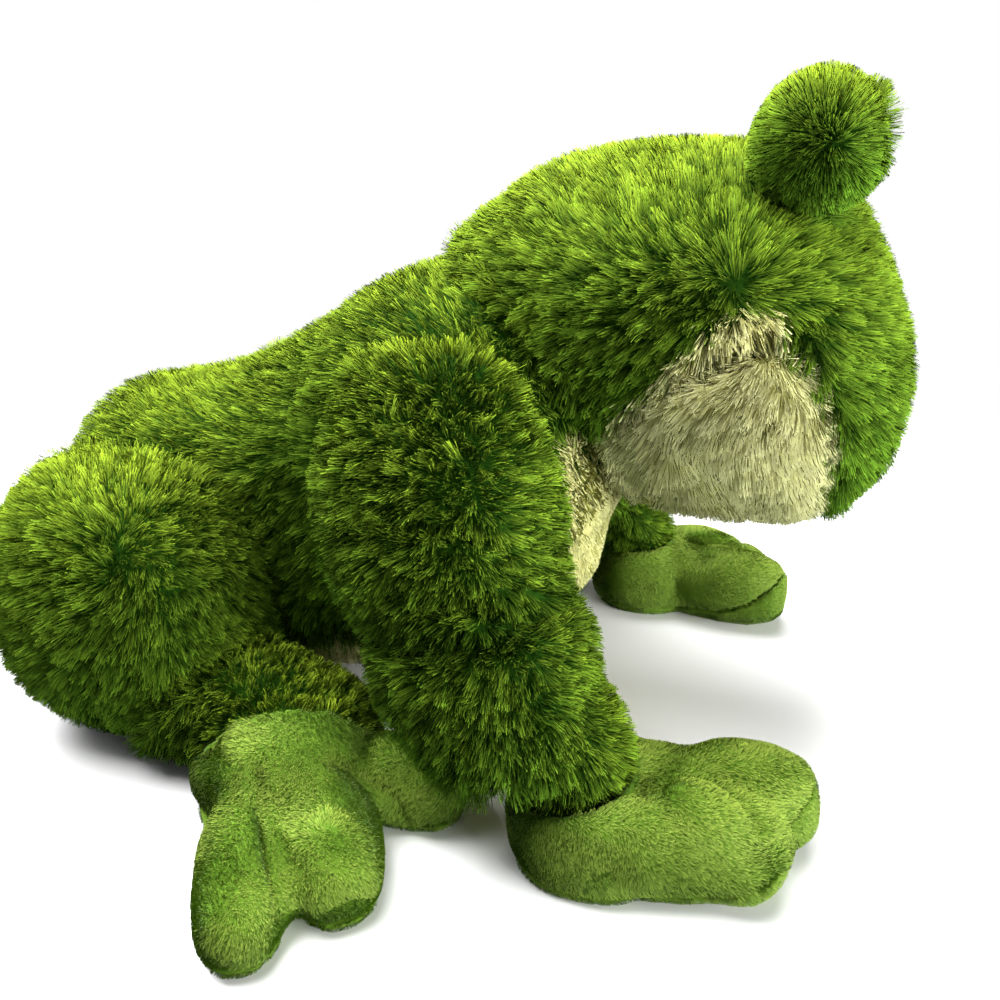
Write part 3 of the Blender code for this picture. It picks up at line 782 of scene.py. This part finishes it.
@dataclass
class Pile:
    """The strands that stand on one cloth."""

    name: str
    cloth: Cloth
    coat: Coat
    flow: Flow
    folds: tuple[Fold | Crease, ...]
    clearings: tuple[Clearing, ...]
    patch: Patch | None
    seed: int

    def build(self) -> list[bpy.types.Object]:
        """Grows the strands.

        Returns:
            The pile, in as many objects as its number of strands calls for.
        """
        coat, random = self.coat, np.random.default_rng(self.seed)
        root, out, wide, openness = self.roots(random)
        valley = 1 - np.einsum("ij,ij->i", out, wide)
        out = unit(out + FORM_SHARE * wide)
        count = len(root)
        tufts = max(1, int(self.area() / coat.tuft_size**2))
        heads = random.choice(count, min(tufts, count), replace=False)
        mine = self.nearest(root, root[heads])
        way, share = self.ways(root, out, heads, mine, random)
        height = coat.height * (1 - coat.uneven * random.random(count))
        height *= 1 - coat.tuft_uneven * random.random(len(heads))[mine]
        rise = 1 + coat.valley_fill * np.clip(valley, 0.0, DEEPEST_VALLEY)
        rise *= SEAM_HEIGHT + OPEN_GAIN * openness
        patched, width = np.zeros(count, bool), np.ones(count)
        if self.patch:
            patched = self.patch.holds(root, random)
            width[patched] = self.patch.widen
            height[patched] *= self.patch.keep
        for place in self.clearings:
            near = np.linalg.norm(root - np.array(place.centre), axis=1) < place.radius
            height[near] *= place.keep
        reach = height * rise / np.maximum(np.einsum("ij,ij->i", way, out), LOWEST_RISE)
        reach = np.minimum(reach, LONGEST_REACH * coat.height)
        tip = root + way * reach[:, None] + TIP_GATHER * share * (root[heads][mine] - root)
        tip[:, 2] = np.maximum(tip[:, 2] - coat.droop * height, GROUND_CLEARANCE)
        across = unit(np.cross(way, out + TURN_SPREAD * random.normal(0.0, 1.0, (count, 3))))
        half = across * (coat.width / 2 * random.uniform(*WIDTH_RANGE, count) * width)[:, None]
        tuft_tone = random.uniform(-1, 1, len(heads))[mine]
        strand_tone = random.uniform(-1, 1, count)
        # Painted top light: strands facing up are made warmer and the others less red, besides a random
        # warmth.
        warmth = WARM_CHANCE * random.uniform(-1, 1, count)
        warmth = np.clip(warmth + PAINTED_TOP_WARMTH * wide[:, 2] - WARM_LEVEL, -1, 1)
        glint = random.normal(0.0, coat.sparkle, (len(heads), 3))[mine]
        glint += random.normal(0.0, OWN_SPARKLE * coat.sparkle, (count, 3))
        facing = unit(wide + FACING_LEAN * way + glint)
        blunt = (random.random(count) < coat.blunt)[:, None]
        foot = root - out * ROOT_DEPTH
        sharp = np.stack([foot - half, foot + half, tip], axis=1)
        broad = np.stack([foot, tip + BLUNT_WIDTH * half, tip - BLUNT_WIDTH * half], axis=1)
        corners = np.where(blunt[:, :, None], broad, sharp)
        colour = self.colours(root, height, blunt, patched, (tuft_tone, strand_tone, warmth))
        parts = math.ceil(count / MOST_STRANDS)
        made = []
        for number, chosen in enumerate(np.array_split(random.permutation(count), parts), 1):
            name = self.name if parts == 1 else f"{self.name}_{number}"
            made.append(strand_object(name, corners[chosen], facing[chosen], colour[chosen]))
        return made

    def ways(
        self, root: Array, out: Array, heads: Array, mine: Array,
        random: Chance,
    ) -> tuple[Array, Array]:
        """Which way each strand points.

        Args:
            root: where the strands stand.
            out: which way is out there.
            heads: the numbers of the strands that the tufts stand round.
            mine: the number of each strand's tuft.
            random: the source of chance.

        Returns:
            The directions, and how closely each strand keeps to its tuft.
        """
        coat, count = self.coat, len(root)
        comb = self.combed(root, out)
        tuft_way = comb[heads] * coat.lean + coat.stray * random.normal(0.0, 1.0, (len(heads), 3))
        tuft_way = unit(out[heads] + tuft_way)
        own_way = unit(out + comb * coat.lean + OWN_STRAY * coat.stray * random.normal(0.0, 1.0, (count, 3)))
        share = coat.gather * random.uniform(*GATHER_RANGE, count)[:, None]
        return unit(own_way * (1 - share) + tuft_way[mine] * share), share

    def colours(
        self, root: Array, height: Array, blunt: Array, patched: Array,
        tone: tuple[Array, ...],
    ) -> Array:
        """The colours of the strands' corners, with painted light and shade: light at the tips of long
        strands, painted shade low in the pile and in folds.

        Args:
            root: where the strands stand.
            height: how high they stand.
            blunt: which of them are widest at their tips.
            patched: which of them stand in the patch.
            tone: each strand's brightness with its tuft, its own, and its warmth, which carries painted top
                light.

        Returns:
            One colour with alpha for each corner of each strand.
        """
        coat = self.coat
        # Painted shade: short strands keep the dark root colour as the shaded undercoat, and strands along
        # folds and creases are darkened.
        painted_light = np.clip((height / coat.height - coat.painted_shade_below) / (1 - coat.painted_shade_below), 0.0, 1.0)
        for fold in self.folds:
            painted_light = painted_light * (1 - fold.shade * fold.nearness(root))
        weight = (np.where(blunt, BLUNT_WEIGHTS, SHARP_WEIGHTS) * painted_light[:, None]).ravel()
        tone = [np.repeat(part, 3) for part in tone]
        colour = coat.shade.dressed(weight, *tone).reshape(-1, 3, 4)
        if self.patch:
            colour[patched] = self.patch.shade.dressed(weight, *tone).reshape(-1, 3, 4)[patched]
        return colour

    def triangles(self) -> tuple[Array, Array]:
        """The cloth's triangles and the open area of each."""
        mesh = self.cloth.mesh
        mesh.calc_loop_triangles()
        corners = np.empty(len(mesh.loop_triangles) * 3, np.int32)
        mesh.loop_triangles.foreach_get("vertices", corners)
        corners = corners.reshape(-1, 3)
        legs = self.cloth.points[corners[:, 1:]] - self.cloth.points[corners[:, :1]]
        area = np.linalg.norm(np.cross(legs[:, 0], legs[:, 1]), axis=1) / 2
        return corners, area * (self.cloth.furred(self.coat.fringe)[corners].min(axis=1) > 0)

    def area(self) -> float:
        """The cloth's open area."""
        return float(self.triangles()[1].sum())

    def roots(self, random: Chance) -> tuple[Array, Array, Array, Array]:
        """Where the strands stand, the ways out of cloth and whole form there, and how open it is."""
        corners, area = self.triangles()
        count = int(min(self.coat.most, area.sum() / MILLIMETRE**2 * self.coat.per_square_mm))
        face = random.choice(len(area), count, p=area / area.sum())
        share = random.random((count, 2))
        flip = share.sum(axis=1) > 1
        share[flip] = 1 - share[flip]
        share = np.column_stack([1 - share.sum(axis=1), share])
        normals = normals_of(self.cloth.mesh)
        wide = whole_form().outward(self.cloth.points, normals)
        root = np.einsum("ij,ijk->ik", share, self.cloth.points[corners[face]])
        out, wide = (unit(np.einsum("ij,ijk->ik", share, field[corners[face]])) for field in (normals, wide))
        openness = np.einsum("ij,ij->i", share, self.cloth.open[corners[face]])
        return root, out, wide, openness

    def combed(self, root: Array, out: Array) -> Array:
        """Which way along the cloth the strands lie over."""
        drift = waving(root, self.coat.whorl_size, self.seed)
        comb = unit(self.flow(root, out)) + self.coat.drift * drift
        return unit(comb - out * np.einsum("ij,ij->i", comb, out)[:, None])

    def nearest(self, points: Array, heads: Array) -> Array:
        """The number of the nearest tuft for each point."""
        tree = KDTree(len(heads))
        for number, head in enumerate(heads):
            tree.insert(head, number)
        tree.balance()
        return np.array([tree.find(point)[1] for point in points])


def strand_object(name: str, corners: Array, facing: Array, colour: Array) -> bpy.types.Object:
    """One object of many fine strands, each a sliver with its own little cell of the texture space.

    Args:
        name: the object's name.
        corners: the three corners of each strand.
        facing: which way each strand faces the light.
        colour: the colour and alpha of each corner.

    Returns:
        The object.
    """
    count, wide, _ = corners.shape
    mesh = bpy.data.meshes.new(name)
    mesh.vertices.add(count * wide)
    mesh.vertices.foreach_set("co", corners.astype(np.float32).ravel())
    mesh.loops.add(count * wide)
    mesh.loops.foreach_set("vertex_index", np.arange(count * wide, dtype=np.int32))
    mesh.polygons.add(count)
    mesh.polygons.foreach_set("loop_start", np.arange(0, count * wide, wide, dtype=np.int32))
    mesh.update(calc_edges=True)
    layer = mesh.color_attributes.new("pile_colour", "FLOAT_COLOR", "POINT")
    layer.data.foreach_set("color", colour.astype(np.float32).ravel())
    side = math.ceil(math.sqrt(count))
    cell = np.stack(np.divmod(np.arange(count), side), axis=1)
    chart = (cell[:, None, :] + np.array(STRAND_CHART)) / side
    mesh.uv_layers.new(name="OFBake").data.foreach_set("uv", chart.astype(np.float32).ravel())
    mesh.shade_smooth()
    mesh.normals_split_custom_set_from_vertices(np.repeat(facing, wide, axis=0).tolist())
    made = bpy.data.objects.new(name, mesh)
    bpy.context.scene.collection.objects.link(made)
    return made


@dataclass
class Skin:
    """One closed cloth skin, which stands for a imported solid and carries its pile."""

    node: str
    body: str
    slot: str
    backing: ClothFinish
    coat: Coat
    fibre: StrandFinish
    flow: Flow
    voxel: float = 0.0028
    smoothing: int = 6
    fill: float = 0.7
    folds: tuple[Fold | Crease, ...] = ()
    clearings: tuple[Clearing, ...] = ()
    patch: Patch | None = None
    lumps: float = 0.0006
    seed: int = 1

    def build(self) -> None:
        """Makes the skin and its pile, and puts both on their body."""
        skin = self.even_form()
        cloth = Cloth.over(self.node, skin.data)
        cloth.smooth(self.smoothing)
        cloth.draw_in(self.coat.height * CLOTH_DEPTH_SHARE, self.folds, self.lumps, self.seed)
        skin.data.shade_smooth()
        skin.data.materials.append(self.backing.material())
        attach(skin, self.body)
        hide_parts(self.node)
        piles = Pile(f"{self.node}_pile", cloth, self.coat, self.flow, self.folds, self.clearings,
                     self.patch, self.seed).build()
        for pile in piles:
            pile.data.materials.append(self.fibre.material())
            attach(pile, self.body)
        strands = sum(len(pile.data.polygons) for pile in piles)
        LOG.info("%s: %d faces of cloth, %d strands", self.node, len(skin.data.polygons), strands)

    def even_form(self) -> bpy.types.Object:
        """The solid's form as an object of fine, even faces."""
        form = merged_copy(self.node)
        mesh = bpy.data.meshes.new(f"{self.node}_skin")
        form.to_mesh(mesh)
        form.free()
        skin = bpy.data.objects.new(f"{self.node}_skin", mesh)
        bpy.context.scene.collection.objects.link(skin)
        remesh = skin.modifiers.new("even", "REMESH")
        remesh.mode = "VOXEL"
        remesh.voxel_size = self.voxel
        graph = bpy.context.evaluated_depsgraph_get()
        even = bpy.data.meshes.new_from_object(skin.evaluated_get(graph))
        skin.modifiers.clear()
        skin.data = even
        return skin


@dataclass
class Torso:
    """Back panel and belly panel round the body's stuffing."""

    back_flow: Place = (-0.75, 0.0, -0.55)
    chest_flow: Place = (0.1, 0.0, -1.0)

    def build(self) -> None:
        """Makes both panels and dresses the stuffing."""
        Skin("back_panel", "body", "green_fur", GREEN_BACKING, LONG_GREEN, FUR,
             flowing(*self.back_flow), voxel=0.0034, patch=BIB, seed=11).build()
        Skin("belly_panel", "body", "cream_short_pile", CREAM_BACKING, BELLY_COAT, CREAM_FIBRE,
             flowing(*self.chest_flow), seed=12).build()
        dress("body_stuffing", WADDING)


@dataclass
class Head:
    """Head, jaw and the two eye bulges."""

    crown: Place = (0.115, 0.060, 0.190)
    mouth_corner: Place = (0.132, 0.066, 0.176)
    bulge_crown: Place = (0.139, 0.057, 0.229)
    bulge_spread: float = 0.036
    eye_clearing: float = 0.0085
    clearing_keep: float = 0.55

    def build(self) -> None:
        """Makes the head's skins and dresses the eyes and the stuffing."""
        Skin("head", "head", "green_fur", GREEN_BACKING, COMBED_GREEN, FUR,
             swirling(self.crown, fall=0.15, mirrored=True), voxel=0.0032, patch=MOUTH_TOP,
             folds=tuple(UNDER_BULGE_CREASE.mirrored(side.value) for side in Side), seed=21).build()
        Skin("jaw", "head", "cream_fur", CREAM_BACKING, LONG_CREAM, CREAM_FIBRE,
             swirling(self.mouth_corner, fall=0.2, mirrored=True), seed=22).build()
        dress("head_stuffing", WADDING)
        for side in Side:
            self.build_bulge(side)

    def build_bulge(self, side: Side) -> None:
        """One eye bulge with its eye.

        Args:
            side: the side that it is on.
        """
        crown = (self.bulge_crown[0], side.value * self.bulge_crown[1], self.bulge_crown[2])
        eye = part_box(f"eye_{side.word}")
        front = (eye[1].x, side.value * self.bulge_spread, (eye[0].z + eye[1].z) / 2)
        Skin(f"eye_bulge_{side.word}", "head", "green_fur", GREEN_BACKING, BULGE_COAT, FUR,
             swirling(crown, fall=0.15, spin=0.25), voxel=0.0016, smoothing=4,
             clearings=(Clearing(front, self.eye_clearing, self.clearing_keep),),
             seed=30 + side.value).build()
        dress(f"eye_{side.word}", EYE_GLOSS)
        dress(f"eye_washer_{side.word}", WASHER_PLASTIC)


@dataclass
class ForeLimb:
    """Arm, front foot and sole of one side."""

    side: Side
    arm_flow: Place = (-0.15, 0.0, -1.0)
    foot_flow: Place = (1.0, 0.0, -0.2)
    # The elbow fold darkens the strands along it with painted shade.
    elbow: Fold = Fold((0.035, 0.0, 0.088), (-0.25, 0.0, 1.0), 0.0045, 0.006)

    def build(self) -> None:
        """Makes the arm and the foot."""
        word, sign = self.side.word, self.side.value
        arm, foot = f"arm_{word}", f"front_foot_{word}"
        Skin(arm, arm, "green_fur", GREEN_BACKING, UPRIGHT_GREEN, FUR,
             flowing(*self.arm_flow), seed=40 + sign,
             folds=(self.elbow, *(crease.mirrored(sign) for crease in ELBOW_CREASES))).build()
        Skin(foot, foot, "green_short_pile", PAW_CLOTH, PAW_COAT, PAW_FIBRE,
             flowing(*self.foot_flow), voxel=0.0017, smoothing=8, seed=50 + sign,
             folds=tuple(line.mirrored(sign) for line in FRONT_FOOT_LINES)).build()
        Skin(f"front_sole_{word}", foot, "green_short_pile", SOLE_CLOTH, SOLE_COAT, PAW_FIBRE,
             flowing(*self.foot_flow), voxel=0.0016, smoothing=3, lumps=0.0, seed=60 + sign,
             folds=(FRONT_SWELL.mirrored(sign),)).build()


@dataclass
class HindLimb:
    """Haunch, shin, hind foot and sole of one side."""

    side: Side
    haunch_crown: Place = (-0.090, 0.112, 0.096)
    shin_flow: Place = (0.5, 0.0, -0.8)

    def build(self) -> None:
        """Makes the leg and the foot."""
        word, sign = self.side.word, self.side.value
        leg, foot = f"leg_{word}", f"hind_foot_{word}"
        crown = (self.haunch_crown[0], sign * self.haunch_crown[1], self.haunch_crown[2])
        Skin(f"haunch_{word}", leg, "green_fur", GREEN_BACKING, LONG_GREEN, FUR,
             swirling(crown, fall=0.35, spin=0.3 * sign), seed=70 + sign).build()
        Skin(f"lower_leg_{word}", leg, "green_fur", GREEN_BACKING, UPRIGHT_GREEN, FUR,
             flowing(*self.shin_flow), voxel=0.0022, seed=80 + sign).build()
        Skin(foot, foot, "green_short_pile", PAW_CLOTH, PAW_COAT, PAW_FIBRE,
             flowing(0.35, sign, -0.3), voxel=0.0017, smoothing=8, seed=90 + sign,
             folds=tuple(line.mirrored(sign) for line in HIND_FOOT_LINES)).build()
        Skin(f"hind_sole_{word}", foot, "green_short_pile", SOLE_CLOTH, SOLE_COAT, PAW_FIBRE,
             flowing(0.35, sign, 0.0), voxel=0.0015, smoothing=2, lumps=0.0, seed=100 + sign).build()


@dataclass(frozen=True)
class Lamp:
    """One soft square lamp that points at the frog: where it hangs, its side and its power in watts."""

    name: str
    place: Place
    size: float
    power: float
    aim: Place = (0.0, 0.0, 0.1)

    def build(self) -> None:
        """Hangs the lamp."""
        data = bpy.data.lights.new(self.name, "AREA")
        data.size, data.energy = self.size, self.power
        lamp = bpy.data.objects.new(self.name, data)
        lamp.location = self.place
        lamp.rotation_euler = (Vector(self.aim) - Vector(self.place)).to_track_quat("-Z", "Y").to_euler()
        bpy.context.scene.collection.objects.link(lamp)


@dataclass
class Studio:
    """Floor, soft light and the camera."""

    lamps: tuple[Lamp, ...] = (
        Lamp("key", (-0.35, 0.05, 1.30), 1.4, 72.0),
        Lamp("front", (1.10, -0.42, 0.14), 0.9, 31.0),
    )
    camera_place: Place = (0.1085, -0.3210, 0.2170)
    camera_forward: Place = (-0.2413, 0.9005, -0.3616)
    camera_right: Place = (0.9659, 0.2588, 0.0)
    lens: float = 28.73
    sensor: float = 36.0
    clip: tuple[float, float] = (0.01, 50.0)
    floor_radius: float = 6.0
    floor_sides: int = 64
    floor_roughness: float = 0.9
    floor_specular: float = 0.1
    floor_grey: float = 0.18
    clear_from: float = 0.30
    clear_to: float = 0.75
    world_strength: float = 0.11

    def build(self) -> None:
        """Makes the stage, the lamps and the camera."""
        self.build_floor()
        self.build_world()
        for lamp in self.lamps:
            lamp.build()
        self.build_camera()

    def build_floor(self) -> None:
        """A floor that is white to the camera, with the frog's shadow near it and plain white far out."""
        form = bmesh.new()
        bmesh.ops.create_circle(form, cap_ends=True, segments=self.floor_sides, radius=self.floor_radius)
        mesh = bpy.data.meshes.new("floor")
        form.to_mesh(mesh)
        form.free()
        floor = bpy.data.objects.new("floor", mesh)
        bpy.context.scene.collection.objects.link(floor)
        made, shader = shader_material("pale_floor", self.floor_roughness, self.floor_specular)
        nodes, links = made.node_tree.nodes, made.node_tree.links
        shader.inputs["Base Color"].default_value = (self.floor_grey,) * 3 + (1.0,)
        near = nodes.new("ShaderNodeBsdfDiffuse")
        near.inputs["Color"].default_value = (1.0, 1.0, 1.0, 1.0)
        white = nodes.new("ShaderNodeEmission")
        place = nodes.new("ShaderNodeTexCoord")
        length = nodes.new("ShaderNodeVectorMath")
        length.operation = "LENGTH"
        fade = nodes.new("ShaderNodeMapRange")
        fade.interpolation_type = "SMOOTHSTEP"
        fade.inputs["From Min"].default_value = self.clear_from
        fade.inputs["From Max"].default_value = self.clear_to
        links.new(place.outputs["Object"], length.inputs[0])
        links.new(length.outputs["Value"], fade.inputs["Value"])
        seen, mix = nodes.new("ShaderNodeMixShader"), nodes.new("ShaderNodeMixShader")
        links.new(fade.outputs["Result"], seen.inputs["Fac"])
        links.new(near.outputs[0], seen.inputs[1])
        links.new(white.outputs[0], seen.inputs[2])
        links.new(self.to_the_eye(made.node_tree), mix.inputs["Fac"])
        links.new(shader.outputs[0], mix.inputs[1])
        links.new(seen.outputs[0], mix.inputs[2])
        links.new(mix.outputs[0], nodes["Material Output"].inputs["Surface"])
        mesh.materials.append(made)

    def to_the_eye(self, tree: bpy.types.NodeTree) -> bpy.types.NodeSocket:
        """A socket that is one for what the camera sees, straight or in something glossy."""
        rays, bent = tree.nodes.new("ShaderNodeLightPath"), tree.nodes.new("ShaderNodeMath")
        bent.operation = "MAXIMUM"
        tree.links.new(rays.outputs["Is Camera Ray"], bent.inputs[0])
        tree.links.new(rays.outputs["Is Glossy Ray"], bent.inputs[1])
        return bent.outputs[0]

    def build_world(self) -> None:
        """White behind the frog, and a soft even light on it."""
        world = bpy.data.worlds.new("soft_daylight")
        bpy.context.scene.world = world
        world.use_nodes = True
        nodes, links = world.node_tree.nodes, world.node_tree.links
        light = nodes["Background"]
        light.inputs["Color"].default_value = (1.0, 1.0, 1.0, 1.0)
        light.inputs["Strength"].default_value = self.world_strength
        plain = nodes.new("ShaderNodeBackground")
        plain.inputs["Color"].default_value = (1.0, 1.0, 1.0, 1.0)
        mix = nodes.new("ShaderNodeMixShader")
        links.new(self.to_the_eye(world.node_tree), mix.inputs["Fac"])
        links.new(light.outputs[0], mix.inputs[1])
        links.new(plain.outputs[0], mix.inputs[2])
        links.new(mix.outputs[0], nodes["World Output"].inputs["Surface"])

    def build_camera(self) -> None:
        """The camera at the height and turn of the picture."""
        data = bpy.data.cameras.new("camera")
        data.lens, data.sensor_width = self.lens, self.sensor
        data.clip_start, data.clip_end = self.clip
        camera = bpy.data.objects.new("camera", data)
        ahead, right = Vector(self.camera_forward).normalized(), Vector(self.camera_right).normalized()
        turn = Matrix((right, right.cross(ahead), -ahead)).transposed().to_4x4()
        camera.matrix_world = Matrix.Translation(self.camera_place) @ turn
        bpy.context.scene.collection.objects.link(camera)
        bpy.context.scene.camera = camera


def dress(node: str, finish: Finish) -> None:
    """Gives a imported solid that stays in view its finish.

    Args:
        node: the solid's node.
        finish: its finish.
    """
    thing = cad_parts[node]
    thing.data.materials.clear()
    thing.data.materials.append(finish.material())
    LOG.info("%s: kept, with %s", node, finish.name)


def main() -> None:
    """Builds the frog and its studio."""
    logging.basicConfig(level=logging.INFO)
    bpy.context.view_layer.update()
    Torso().build()
    Head().build()
    for side in Side:
        ForeLimb(side).build()
        HindLimb(side).build()
    Studio().build()
    bpy.context.scene.view_settings.view_transform = "Standard"


if __name__ == "__main__":
    main()
